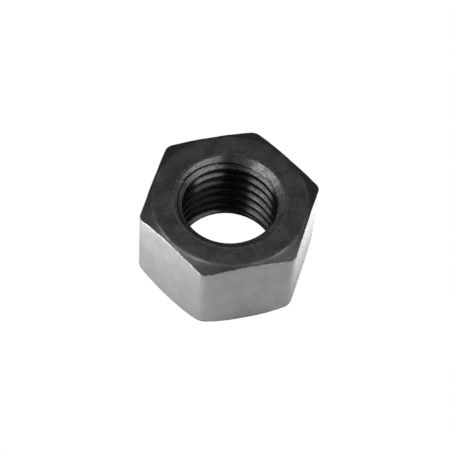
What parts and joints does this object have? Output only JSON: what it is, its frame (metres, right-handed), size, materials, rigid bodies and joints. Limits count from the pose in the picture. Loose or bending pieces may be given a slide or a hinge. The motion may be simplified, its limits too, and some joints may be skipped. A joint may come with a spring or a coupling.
{
  "type": "hex nut",
  "caption": "Plain hexagon nut with a coarse right-hand internal thread, countersunk at both ends and with chamfered corners.",
  "frame": {"origin": "centre of the lower bearing face, on the thread's axis", "axes": "+Z along the thread towards the upper bearing face; +X through a corner of the hexagon, so two flats face +Y and -Y"},
  "size_m": [0.0346, 0.03, 0.018],
  "materials": {
    "dark_steel": "dark oxide on forged and tapped steel, satin, with bare metal on worn edges"
  },
  "bodies": {
    "root": {"hex_nut": "dark_steel"}
  },
  "joints": []
}
